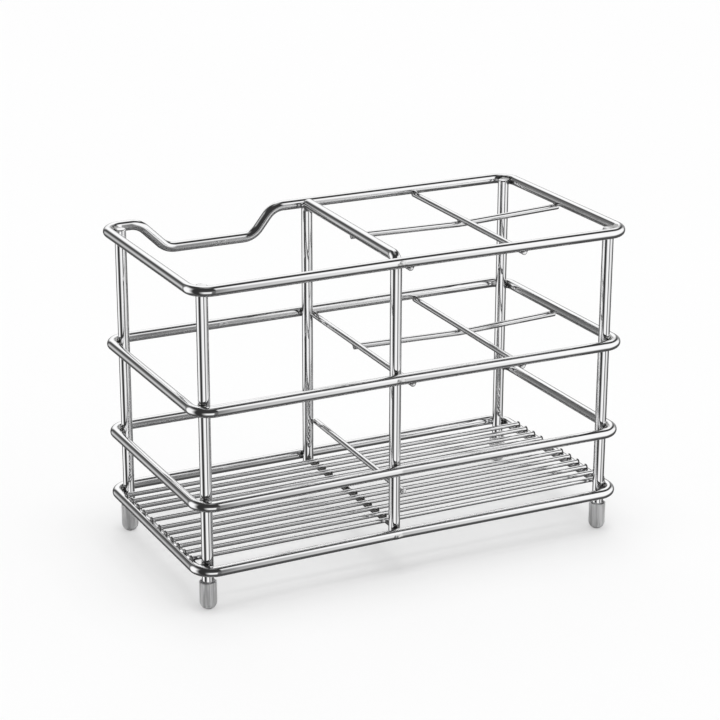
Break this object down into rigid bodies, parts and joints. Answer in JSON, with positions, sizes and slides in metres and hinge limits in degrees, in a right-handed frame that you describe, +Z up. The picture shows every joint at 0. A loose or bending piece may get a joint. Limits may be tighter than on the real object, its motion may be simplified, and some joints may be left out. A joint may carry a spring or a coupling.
{
  "type": "toothbrush holder",
  "caption": "Free-standing welded wire rack for toothbrushes: a long open basket on capped feet, one half open for a tube, the other split into cells.",
  "frame": {"origin": "middle of the footprint, on the surface the foot caps stand on", "axes": "+X to the right along the length, +Y to the rear, +Z up; the open half and the dipped rear wire are at -X"},
  "size_m": [0.19, 0.0999, 0.1328],
  "materials": {
    "steel_base_wire_01": "mirror-bright polished stainless steel wire",
    "steel_base_wire_02": "mirror-bright polished stainless steel wire",
    "steel_base_wire_03": "mirror-bright polished stainless steel wire",
    "steel_base_wire_04": "mirror-bright polished stainless steel wire",
    "steel_base_wire_05": "mirror-bright polished stainless steel wire",
    "steel_base_wire_06": "mirror-bright polished stainless steel wire",
    "steel_base_wire_07": "mirror-bright polished stainless steel wire",
    "steel_base_wire_08": "mirror-bright polished stainless steel wire",
    "steel_base_wire_09": "mirror-bright polished stainless steel wire",
    "steel_base_wire_10": "mirror-bright polished stainless steel wire",
    "steel_base_wire_11": "mirror-bright polished stainless steel wire",
    "steel_divider_hoop": "mirror-bright polished stainless steel wire",
    "steel_post_front_left": "mirror-bright polished stainless steel wire",
    "steel_post_front_right": "mirror-bright polished stainless steel wire",
    "steel_post_rear_left": "mirror-bright polished stainless steel wire",
    "steel_post_rear_right": "mirror-bright polished stainless steel wire",
    "steel_ring_base": "mirror-bright polished stainless steel wire",
    "steel_ring_high": "mirror-bright polished stainless steel wire",
    "steel_ring_low": "mirror-bright polished stainless steel wire",
    "steel_ring_rim": "mirror-bright polished stainless steel wire",
    "steel_tie_base": "mirror-bright polished stainless steel wire",
    "steel_tie_cross_high": "mirror-bright polished stainless steel wire",
    "steel_tie_cross_rim": "mirror-bright polished stainless steel wire",
    "steel_tie_divider_high": "mirror-bright polished stainless steel wire",
    "steel_tie_divider_low": "mirror-bright polished stainless steel wire",
    "steel_tie_divider_rim": "mirror-bright polished stainless steel wire",
    "steel_tie_long_high": "mirror-bright polished stainless steel wire",
    "steel_tie_long_rim": "mirror-bright polished stainless steel wire",
    "silicone_foot_cap_front_left": "satin grey silicone, slightly translucent",
    "silicone_foot_cap_front_right": "satin grey silicone, slightly translucent",
    "silicone_foot_cap_rear_left": "satin grey silicone, slightly translucent",
    "silicone_foot_cap_rear_right": "satin grey silicone, slightly translucent"
  },
  "bodies": {
    "root": {"base_wire_01": "steel_base_wire_01", "base_wire_02": "steel_base_wire_02", "base_wire_03": "steel_base_wire_03", "base_wire_04": "steel_base_wire_04", "base_wire_05": "steel_base_wire_05", "base_wire_06": "steel_base_wire_06", "base_wire_07": "steel_base_wire_07", "base_wire_08": "steel_base_wire_08", "base_wire_09": "steel_base_wire_09", "base_wire_10": "steel_base_wire_10", "base_wire_11": "steel_base_wire_11", "divider_hoop": "steel_divider_hoop", "post_front_left": "steel_post_front_left", "post_front_right": "steel_post_front_right", "post_rear_left": "steel_post_rear_left", "post_rear_right": "steel_post_rear_right", "ring_base": "steel_ring_base", "ring_high": "steel_ring_high", "ring_low": "steel_ring_low", "ring_rim": "steel_ring_rim", "tie_base": "steel_tie_base", "tie_cross_high": "steel_tie_cross_high", "tie_cross_rim": "steel_tie_cross_rim", "tie_divider_high": "steel_tie_divider_high", "tie_divider_low": "steel_tie_divider_low", "tie_divider_rim": "steel_tie_divider_rim", "tie_long_high": "steel_tie_long_high", "tie_long_rim": "steel_tie_long_rim", "foot_cap_front_left": "silicone_foot_cap_front_left", "foot_cap_front_right": "silicone_foot_cap_front_right", "foot_cap_rear_left": "silicone_foot_cap_rear_left", "foot_cap_rear_right": "silicone_foot_cap_rear_right"}
  },
  "joints": []
}
